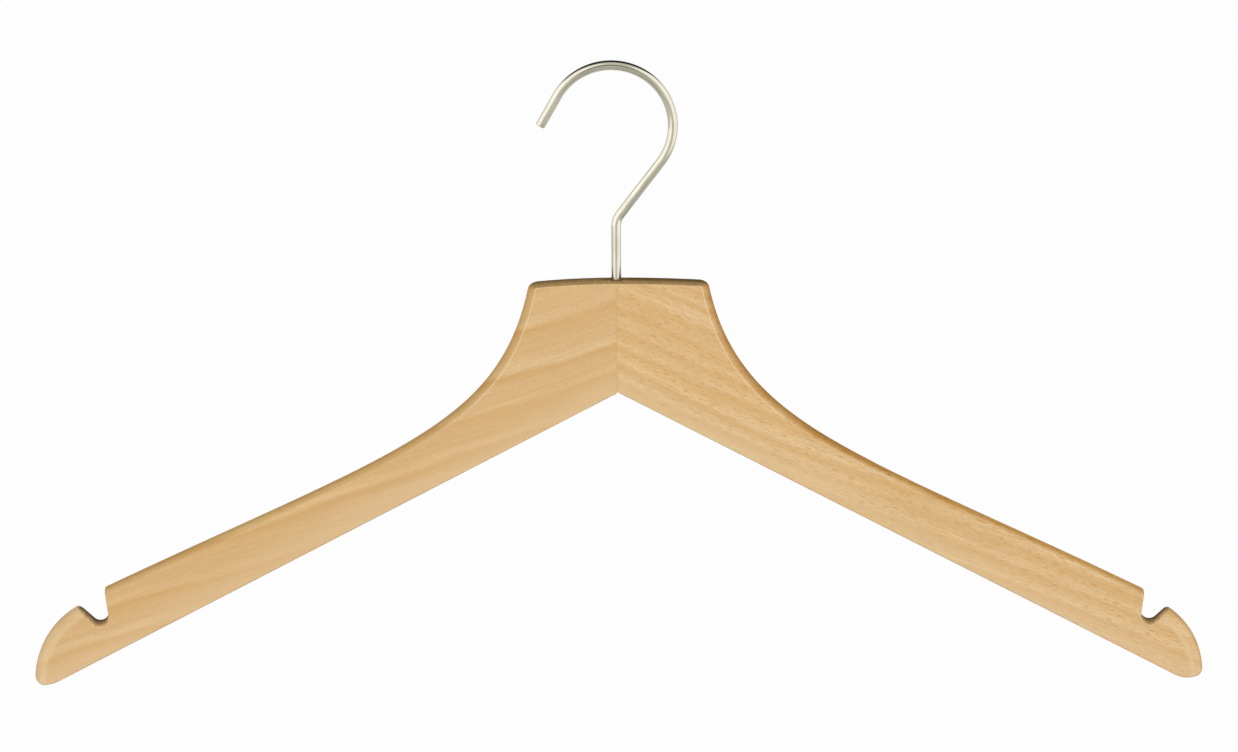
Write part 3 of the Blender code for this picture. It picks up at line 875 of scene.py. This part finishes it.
# %% [markdown]
# ## Beech: the whole finish
# On top of the rings come short brown flecks, the cut ends of the rays that are the sign of beech, and a
# fine streaky texture that also gives the surface its slight relief. The two arms come from different
# boards: the left has wide rings that rise to the right and hardly a fleck, the right has narrow ones
# that fall, and many. The lacquer is thin and satin, so the highlights stay soft and weak. For each arm
# the call at the end gives the grain's angle, a seed for its noises, the rings as gap, wander, colours
# and strength, the flecks as share and length, the tints of the edges at the neck, further out and on the
# lobe, and the rim as width, share and share at the edge.

# %% The beech of both arms
ZONES, STREAKS, PORES = (90, 20, 16), (28, 2.0, 0.6), (1.2, 0.5, 0.3)
FLECK_DEPTH, FLECK_WIDTH = 0.9, 0.2
STREAK_RELIEF, SAW_RELIEF = 0.010, 0.02


def beech(arm, grain_deg, seed, rings, flecks, tints, rim):
    """The lacquered beech of one arm."""
    wood = Finish("beech_" + arm.node)
    place = along_the_grain(wood, grain_deg, seed)
    gap, wander, stops, strength = rings
    plain = stops[0][1]
    clouds = wood.noise(place, (70, 30, 2 * gap), seed=seed + 1)
    presence = wood.ramp(clouds, 0.3, 0.55, strength / 3, strength)
    colour = wood.mix(presence, plain, year_rings(wood, place, gap, wander, stops, seed + 2))
    zones = wood.noise(place, ZONES, seed=seed + 3)
    colour = wood.mix(wood.ramp(zones, 0.40, 0.64, 0.0, 0.4), colour, linear(220, 179, 124))
    streaks = wood.noise(place, STREAKS, detail=3.0, roughness=0.6, seed=seed + 4)
    colour = wood.mix(wood.ramp(streaks, 0.3, 0.7, 0.3, 0.0), colour, linear(206, 161, 105))
    pores = wood.noise(place, PORES, detail=1.0, seed=seed + 5)
    colour = wood.mix(wood.ramp(pores, 0.35, 0.7, 0.0, 0.14), colour, linear(194, 146, 88))
    share, reach = flecks
    dashes = wood.noise(place, (reach, FLECK_DEPTH, FLECK_WIDTH), detail=0.0, seed=seed + 6)
    colour = wood.mix(wood.ramp(dashes, 0.60, 0.70, 0.0, share), colour, linear(202, 148, 84))
    colour = paler_below(wood, colour, arm)
    colour = glue_line(wood, colour)
    # Edge tint with painted shade, then a painted highlight along the arris.
    colour = painted_arris_highlight(wood, edge_tint_and_painted_shade(wood, colour, arm, *tints))
    colour = pale_rim(wood, colour, arm, *rim)
    colour = sawn_neck_top_with_painted_shade(wood, colour, arm, seed)
    wood.feed(wood.shader, Base_Color=colour, Roughness=wood.ramp(streaks, 0.3, 0.7, 0.5, 0.6))
    wood.feed(wood.shader, Specular_IOR_Level=0.0, Coat_Weight=0.08, Coat_Roughness=0.3)
    wood.relief(streaks, STREAK_RELIEF)
    return wood.material


wide_rings = [
    (0.0, TAN), (0.40, TAN), (0.66, linear(214, 168, 109)), (0.80, linear(234, 204, 157)),
    (0.87, linear(233, 203, 156)), (1.0, TAN),
]
PALE_TAN = linear(230, 197, 147)
narrow_rings = [
    (0.0, PALE_TAN), (0.35, linear(220, 177, 118)), (0.70, linear(239, 210, 164)), (1.0, PALE_TAN),
]
arm_finishes = {
    "left_arm": beech(
        left_arm, grain_deg=18.0, seed=11.0, rings=(14.0, 1.3, wide_rings, 0.8), flecks=(0.22, 2.0),
        tints=((0.86, 0.79, 0.60, 1.0), (1.0, 0.98, 0.78, 1.0), (0.84, 0.80, 0.74, 1.0)),
        rim=(5.0, 0.5, 0.45),
    ),
    "right_arm": beech(
        right_arm, grain_deg=-23.0, seed=41.0, rings=(6.5, 1.4, narrow_rings, 0.65), flecks=(0.7, 3.4),
        tints=((0.64, 0.48, 0.22, 1.0), (0.94, 0.80, 0.50, 1.0), (0.84, 0.74, 0.54, 1.0)),
        rim=(5.5, 0.6, 0.1),
    ),
}
print("finishes of the arms:", [material.name for material in arm_finishes.values()])

# %% [markdown]
# ## Bare wood in the cuts
# The notch and the bore have no lacquer, and like the neck's top their bare wood gets painted shade
# towards the back. Their marks run from one face to the other, across the light, so here they also get
# some depth.

# %% Sawn wood
def sawn_beech(name, seed):
    wood = Finish(name)
    # The darker back colour is painted shade.
    colour = sawn_colour_with_painted_shade(wood, linear(232, 197, 145), linear(106, 88, 58), seed)
    wood.feed(wood.shader, Base_Color=colour, Roughness=0.7, Specular_IOR_Level=0.0)
    wood.relief(wood.noise(wood.place, SAW_MARKS, seed=seed + 1), SAW_RELIEF)
    return wood.material


sawn_wood = sawn_beech("beech_sawn", 3.0)
for arm in arms:
    blanks[arm.node].data.materials.append(arm_finishes[arm.node])
    blanks[arm.node].data.materials.append(sawn_wood)
for cutter in (bore_drill, pin_drill, *joint_saws.values()):
    cutter.data.materials.append(sawn_wood)
print("each arm has", len(blanks["left_arm"].data.materials), "material slots")

# %% [markdown]
# ## Cutting
# A saw and a drill take one solid off another, and the Boolean modifier does just that. It is applied at
# once, so that the printed face counts show that each cut has bitten. Faces that a cut has made take the
# cutter's own material. Afterwards each arm rides on the body of the arms, in place of its plain solid.

# %% Cut both arms
SHARP_DEG = 26.0


def take_off(piece, cutter):
    """Cuts one closed shape out of another and keeps the result as plain mesh."""
    boolean = piece.modifiers.new(cutter.name, "BOOLEAN")
    boolean.operation = "DIFFERENCE"
    boolean.solver = "EXACT"
    boolean.object = cutter
    boolean.material_mode = "TRANSFER"
    bpy.context.view_layer.update()
    mesh = bpy.data.meshes.new_from_object(piece.evaluated_get(bpy.context.evaluated_depsgraph_get()))
    piece.modifiers.clear()
    piece.data = mesh
    print(piece.name, "after", cutter.name, len(mesh.polygons), "faces")


def shade(piece):
    """Smooth shading with crisp lines where the surface turns sharply, and flat faces that look flat."""
    piece.data.shade_smooth()
    piece.data.set_sharp_from_angle(angle=math.radians(SHARP_DEG))
    weighted = piece.modifiers.new("even_shading", "WEIGHTED_NORMAL")
    weighted.keep_sharp = True
    weighted.mode = "FACE_AREA"


def put_in_place(piece, node, body):
    """Shades a finished piece and lets it stand for a node of the working model."""
    shade(piece)
    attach(piece, body)
    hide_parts(node)


for arm in arms:
    for cutter in (joint_saws[arm.node], bore_drill, pin_drill):
        take_off(blanks[arm.node], cutter)
    put_in_place(blanks[arm.node], arm.node, "arms")
for cutter in (bore_drill, pin_drill, *joint_saws.values()):
    bpy.data.objects.remove(cutter)

# %% [markdown]
# ## The path of the wire
# The hook is one length of hard drawn wire, bent cold round two formers: a small one just above the neck
# and a large one for the bow. Bending round a former gives true arcs with straight runs between them, so
# the path is worked out from the two formers' radii and places. The shank also gets the groove in which
# the pin sits.

# %% The path of the wire
BEND_HEIGHT, BEND_RADIUS = 23.8, 7.5
BOW_RADIUS = 23.6
BOW_ABOVE_BEND, BOW_OFFSET = 36.6, -1.8
BOW_END_DEG = 150.6
HOOK_TIP_LENGTH = 13.3
SHANK_DEPTH = 25.0
GROOVE_ABOVE_END, GROOVE_HEIGHT, GROOVE_DEPTH, GROOVE_LEAN = 4.0, 2.1, 0.8, 0.2
WIRE_END_EASE = 0.35
END_STEPS = 6
SHANK_POINTS, BEND_POINTS, RUN_POINTS, BOW_POINTS, END_RUN_POINTS = 12, 20, 12, 110, 8


def eased_end(start, direction):
    """The last bit of a wire whose end is eased, as (point, radius), ending in its middle."""
    steps = []
    for k in range(END_STEPS + 1):
        angle = math.pi / 2 * k / END_STEPS
        radius = WIRE_RADIUS - WIRE_END_EASE * (1 - math.cos(angle))
        steps.append((start + WIRE_END_EASE * math.sin(angle) * np.asarray(direction), radius))
    return steps


def grooved_shank():
    """The shank from its foot to above the groove, as (point, radius)."""
    low = -SHANK_DEPTH + GROOVE_ABOVE_END
    high = low + GROOVE_HEIGHT
    floor_radius = WIRE_RADIUS - GROOVE_DEPTH
    foot = eased_end(np.array((0.0, -SHANK_DEPTH + WIRE_END_EASE)), (0.0, -1.0))[::-1]
    heights = (low - GROOVE_LEAN, low, high, high + GROOVE_LEAN)
    radii = (WIRE_RADIUS, floor_radius, floor_radius, WIRE_RADIUS)
    return foot + [(np.array((0.0, height)), radius) for height, radius in zip(heights, radii)]


def bent_wire():
    """Middle of the wire from the neck's top to its end, as (point, radius)."""
    bow = (BOW_OFFSET, BEND_HEIGHT + BOW_ABOVE_BEND)
    apart = math.hypot(BOW_ABOVE_BEND, BOW_OFFSET)
    run_angle = math.acos(BOW_RADIUS / apart) + math.atan2(-BOW_OFFSET, BOW_ABOVE_BEND)
    turn_deg = 90 - math.degrees(run_angle)
    tangent = BEND_RADIUS * math.tan(math.radians(turn_deg) / 2)
    bend_centre = (BEND_RADIUS, BEND_HEIGHT - tangent)
    bend = round_stretch(bend_centre, BEND_RADIUS, 180, 180 - turn_deg, BEND_POINTS)[0]
    curve = round_stretch(bow, BOW_RADIUS, -turn_deg, BOW_END_DEG, BOW_POINTS)[0]
    end = math.radians(BOW_END_DEG + 90)
    direction = np.array((math.cos(end), math.sin(end)))
    tip_start = curve[-1] + (HOOK_TIP_LENGTH - WIRE_END_EASE) * direction
    shank = np.linspace((0.0, 0.0), bend[0], SHANK_POINTS)[:-1]
    run = np.linspace(bend[-1], curve[0], RUN_POINTS)[1:-1]
    tip_run = np.linspace(curve[-1], tip_start, END_RUN_POINTS)[1:-1]
    middle_line = np.concatenate((shank, bend, run, curve, tip_run))
    return [(point, WIRE_RADIUS) for point in middle_line] + eased_end(tip_start, direction)


wire_path = grooved_shank() + bent_wire()
print("the wire's path has", len(wire_path), "points")

# %% [markdown]
# ## Sweeping the wire
# A curve object with a round bevel could carry the wire. A swept bmesh does the same and lets the ends be
# eased and the groove be turned. Each point also remembers its place across and along the wire in an
# attribute called `drawn`, which the finish needs.

# %% Sweep the wire
WIRE_SIDES = 48


def swept_wire(name, path):
    points = np.array([point for point, radius in path])
    along = np.gradient(points, axis=0)
    along /= np.linalg.norm(along, axis=1)[:, None]
    lengths = distances_along(points)
    shape = bmesh.new()
    drawn = shape.verts.layers.float_vector.new("drawn")
    rings = []
    for (point, radius), direction, length in zip(path, along, lengths):
        ring = []
        for k in range(WIRE_SIDES):
            angle = 2 * math.pi * k / WIRE_SIDES
            across, through = radius * math.cos(angle), radius * math.sin(angle)
            x = point[0] + across * direction[1]
            z = point[1] - across * direction[0]
            vertex = shape.verts.new((x * MM, through * MM, (neck_top + z) * MM))
            vertex[drawn] = (across * MM, through * MM, length * MM)
            ring.append(vertex)
        rings.append(ring)
    skin(shape, rings)
    shape.faces.new(rings[0])
    shape.faces.new(rings[-1])
    print(name, f"is {lengths[-1]:.1f} mm of wire")
    return new_piece(name, shape)


hook = swept_wire("wire_hook", wire_path)

# %% [markdown]
# ## Satin nickel
# The plating is a soft warm grey that mirrors the room without showing it clearly. Under the plating the
# wire keeps the fine lines of the die it was drawn through, all running lengthwise. A noise that is
# stretched along the wire, by means of `drawn`, follows every bend, and a cloudy one lets the tone change
# a little.

# %% Satin nickel
DRAWN_LINES, CLOUDS = (0.4, 0.4, 80), (2.5, 2.5, 9)
LINE_DEPTH = 0.0002


def satin_nickel(name):
    metal = Finish(name)
    drawn = metal.add("Attribute", attribute_name="drawn").outputs["Vector"]
    lines = metal.noise(drawn, DRAWN_LINES, seed=2.0)
    cloud = metal.noise(drawn, CLOUDS, detail=3.0, seed=7.0)
    colour = metal.mix(metal.ramp(cloud, 0.35, 0.7), linear(190, 186, 179), linear(181, 177, 169))
    roughness = metal.ramp(lines, 0.3, 0.7, 0.12, 0.17)
    metal.feed(metal.shader, Base_Color=colour, Roughness=roughness, Metallic=1.0)
    metal.relief(lines, LINE_DEPTH)
    return metal.material


hook.data.materials.append(satin_nickel("nickel_satin"))
put_in_place(hook, "hook", "hook")
print(hook.name, "has", len(hook.data.polygons), "faces")

# %% [markdown]
# ## The retaining pin
# A headless steel pin, driven in from the back, keeps the hook in its bore: it sits beside the shank in
# the groove. Only its end shows, a little below the wood. It is turned from a profile with eased ends, as
# such pins are tumbled after they are cut off. The steel is bare, with short grinding marks.

# %% The pin
PIN_EASE = 0.2
PIN_END_STEPS = 4
GRINDING_MARKS, MARK_DEPTH = (0.05, 0.4, 0.05), 0.004


def pin_profile():
    """The pin's outline as (radius, distance from the middle of the wood), from back to front."""
    turns = [math.pi / 2 * k / PIN_END_STEPS for k in range(PIN_END_STEPS + 1)]
    eases = [(PIN_EASE * (1 - math.sin(a)), PIN_EASE * (1 - math.cos(a))) for a in turns]
    back = [(PIN_RADIUS - inset, PIN_BACK - setback) for inset, setback in eases]
    front = [(PIN_RADIUS - inset, PIN_FRONT + setback) for setback, inset in eases]
    return [(0.0, PIN_BACK), *back, *front, (0.0, PIN_FRONT)]


def bright_steel(name):
    metal = Finish(name)
    marks = metal.noise(metal.place, GRINDING_MARKS, seed=1.0)
    colour = metal.mix(metal.ramp(marks, 0.3, 0.7), linear(176, 175, 172), linear(150, 149, 146))
    roughness = metal.ramp(marks, 0.3, 0.7, 0.30, 0.45)
    metal.feed(metal.shader, Base_Color=colour, Roughness=roughness, Metallic=1.0)
    metal.relief(marks, MARK_DEPTH)
    return metal.material


pin = turned("retaining_pin_steel", pin_profile(), (pin_centre.x, 0.0, pin_centre.z), axis="Y", steps=40)
pin.data.materials.append(bright_steel("steel_bright"))
put_in_place(pin, "retaining_pin", "arms")
print("the pin is", [round(d / MM, 2) for d in pin.dimensions], "mm")

# %% [markdown]
# ## The floor
# The photo shows the hanger against plain white. The floor lies well below it, as it does under a rail.
# Camera rays, and those that the metal mirrors, see it glow white, while all other rays see a matt pale
# floor. So the picture's ground is white and no extra light falls on the wood. Two parts in a hundred
# stay matt, which keeps a trace of shadow. In metal the floor and the room look a trace warm, and the
# floor carries painted shade in front, darker where a camera's stand would take the light. From below
# the floor is clear, so that the underside can be looked at too.

# %% The floor
FLOOR_DROP = 1.5
FLOOR_SIZE = 60.0
FLOOR_GLOW = 0.98
SHADE_PLACE = (0.0, -1.5, 0.0)
SHADE_REACH, SHADE_LEVEL = (0.8, 2.3), 0.42
WHITE, MATT_WHITE = (1.0, 1.0, 1.0, 1.0), (0.8, 0.8, 0.8, 1.0)
ROOM_TONE = linear(255, 255, 238)


def rays_that_show_the_room(nodes):
    """Two shares: of rays from the camera, and of rays that metal mirrors or glass lets through."""
    rays = nodes.add("LightPath").outputs
    mirrored = nodes.math("MAXIMUM", rays["Is Glossy Ray"], rays["Is Transmission Ray"])
    return rays["Is Camera Ray"], mirrored


def white_floor():
    bpy.ops.mesh.primitive_plane_add(size=FLOOR_SIZE, location=(0.0, 0.0, -FLOOR_DROP))
    floor = bpy.context.object
    floor.name = "studio_floor"
    paint = Finish("floor_white")
    seen, mirrored = rays_that_show_the_room(paint)
    # Painted shade: the glow that metal mirrors is darker near a place in front.
    away = paint.vector("DISTANCE", paint.place, SHADE_PLACE, result="Value")
    mirrored_glow = paint.math("MULTIPLY", mirrored, paint.ramp(away, *SHADE_REACH, SHADE_LEVEL, 1.0))
    share = paint.math("MULTIPLY", paint.math("MAXIMUM", seen, mirrored_glow), FLOOR_GLOW)
    glow = paint.feed(paint.add("Emission"), Color=paint.mix(mirrored, WHITE, ROOM_TONE), Strength=1.0)
    matt = paint.feed(paint.add("BsdfDiffuse"), Color=MATT_WHITE)
    top = paint.feed(paint.add("MixShader"), _0=share, _1=matt.outputs[0], _2=glow.outputs[0])
    clear = paint.add("BsdfTransparent")
    below = paint.add("NewGeometry").outputs["Backfacing"]
    both = paint.feed(paint.add("MixShader"), _0=below, _1=top.outputs[0], _2=clear.outputs[0])
    paint.feed(paint.tree.nodes["Material Output"], Surface=both.outputs[0])
    paint.tree.nodes.remove(paint.shader)
    floor.data.materials.append(paint.material)
    print(floor.name, "lies", FLOOR_DROP, "m below the rail")


white_floor()

# %% [markdown]
# ## The room
# A world lights from all sides. For the camera it is white. For the wood it is a room that is pale up to
# a little above eye level and dim overhead, which gives the edges their form. The metal mirrors a white
# room with two dark patches: one high up behind the hanger draws the dark line along the top of the bow,
# and a small one, where the camera stands, draws a thin line along the middle of the wire. A patch is
# given by its azimuth and elevation, the angles at which it is whole and at which it ends, and its level.

# %% The room
ROOM_FILL = 0.6
OVERHEAD = 0.08
PALE_UP_TO, DIM_FROM = 0.30, 0.95
HIGH_BEHIND = (180, 53, 40, 50, 0.03)
IN_FRONT = (0, 8, 8, 17, 0.15)


def bearing(azimuth_deg, elevation_deg):
    """The direction from the hanger to a place round it; azimuth 0 is the front."""
    azimuth, elevation = math.radians(azimuth_deg), math.radians(elevation_deg)
    flat = math.cos(elevation)
    return Vector((math.sin(azimuth) * flat, -math.cos(azimuth) * flat, math.sin(elevation)))


def dark_patch(room, towards, azimuth_deg, elevation_deg, inner_deg, outer_deg, level):
    """1 all round, but a lower level in a round patch."""
    near = room.vector("DOT_PRODUCT", towards, bearing(azimuth_deg, elevation_deg), result="Value")
    return room.ramp(near, math.cos(math.radians(outer_deg)), math.cos(math.radians(inner_deg)), 1.0, level)


def studio_world():
    world = bpy.data.worlds.new("studio")
    bpy.context.scene.world = world
    world.use_nodes = True
    room = Nodes(world.node_tree)
    towards = room.add("TexCoord").outputs["Generated"]
    fill = room.ramp(room.part(towards, "Z"), PALE_UP_TO, DIM_FROM, ROOM_FILL, ROOM_FILL * OVERHEAD)
    behind = dark_patch(room, towards, *HIGH_BEHIND)
    in_front = dark_patch(room, towards, *IN_FRONT)
    seen, mirrored = rays_that_show_the_room(room)
    in_metal = room.math("MULTIPLY", behind, in_front)
    strength = room.feed(room.add("Mix"), _0=mirrored, _2=fill, _3=in_metal).outputs[0]
    tone = room.mix(mirrored, WHITE, ROOM_TONE)
    room.feed(room.tree.nodes["Background"], Color=tone, Strength=room.math("MAXIMUM", strength, seen))
    print("the room dims from", round(math.degrees(math.asin(PALE_UP_TO))), "degrees up")


studio_world()

# %% [markdown]
# ## Soft boxes
# Two big area lights stand in front, and one behind gives the back the same plain light when someone
# walks round the hanger. Metal shows a lamp's own brightness while wood only spreads it, so each front
# box is set up twice: a strong one for the wood, and a weaker one close by that only the metal shows.
# They don't lie in one plane, because then one would hide the other. A third small box at the far left is
# for the metal alone. The camera itself sees none of them.

# %% Lights
middle = sum(cad_box, Vector()) / 2


def soft_box(name, azimuth_deg, elevation_deg, distance, size, power, in_metal=False):
    lamp = bpy.data.lights.new(name, "AREA")
    lamp.shape = "RECTANGLE"
    lamp.size, lamp.size_y = size
    lamp.energy = power
    box = bpy.data.objects.new(name, lamp)
    offset = bearing(azimuth_deg, elevation_deg)
    box.location = middle + offset * distance
    box.rotation_euler = (-offset).to_track_quat("-Z", "Y").to_euler()
    box.visible_camera = False
    box.visible_glossy = in_metal
    box.visible_diffuse = not in_metal
    bpy.context.scene.collection.objects.link(box)
    print(name, "gives", power, "W from", azimuth_deg, "degrees")


soft_box("soft_box_left", -46, 18, 1.5, (1.7, 2.2), 17.5)
soft_box("soft_box_left_in_metal", -46, 23, 1.45, (1.5, 2.2), 9.0, in_metal=True)
soft_box("soft_box_far_left_in_metal", -90, 16, 1.4, (1.2, 1.2), 3.2, in_metal=True)
soft_box("soft_box_right", 62, 18, 1.5, (1.7, 2.1), 18.0)
soft_box("soft_box_right_in_metal", 66, 12, 1.4, (2.5, 2.5), 15.5, in_metal=True)
soft_box("soft_box_back", 180, 10, 1.8, (1.6, 1.2), 15.0)

# %% [markdown]
# ## The camera
# A product photo is taken with a long lens from far away, so that nothing looks bent. Here the lens is
# 600 mm and the camera stands almost 8 m off, a little above the hanger. It is aimed so that the neck's
# top falls on the pixel where the photo has it, and it leans by a trace, as the photo does.

# %% Camera
PHOTO_WIDTH, PHOTO_HEIGHT = 1238, 752
NECK_TOP_PIXEL = (616.7, 280.6)
MM_PER_PIXEL = 0.382
CAMERA_ELEVATION_DEG = 12.5
CAMERA_ROLL_DEG = 0.22
LENS, SENSOR = 600.0, 36.0


def photo_camera():
    data = bpy.data.cameras.new("photo_camera")
    data.lens = LENS
    data.sensor_width = SENSOR
    camera = bpy.data.objects.new("photo_camera", data)
    elevation = math.radians(CAMERA_ELEVATION_DEG)
    view = Vector((0.0, math.cos(elevation), -math.sin(elevation)))
    up = Vector((0.0, math.sin(elevation), math.cos(elevation)))
    right = Vector((1.0, 0.0, 0.0))
    off_right = (NECK_TOP_PIXEL[0] - PHOTO_WIDTH / 2) * MM_PER_PIXEL * MM
    off_up = (PHOTO_HEIGHT / 2 - NECK_TOP_PIXEL[1]) * MM_PER_PIXEL * MM
    aim = Vector((0.0, 0.0, neck_top * MM)) - right * off_right - up * off_up
    distance = PHOTO_WIDTH * MM_PER_PIXEL * MM * LENS / SENSOR
    camera.location = aim - view * distance
    camera.rotation_euler = view.to_track_quat("-Z", "Y").to_euler()
    camera.rotation_euler.rotate_axis("Z", -math.radians(CAMERA_ROLL_DEG))
    bpy.context.scene.collection.objects.link(camera)
    bpy.context.scene.camera = camera
    print(f"camera {distance:.2f} m away")


photo_camera()
bpy.context.scene.view_settings.view_transform = "Standard"
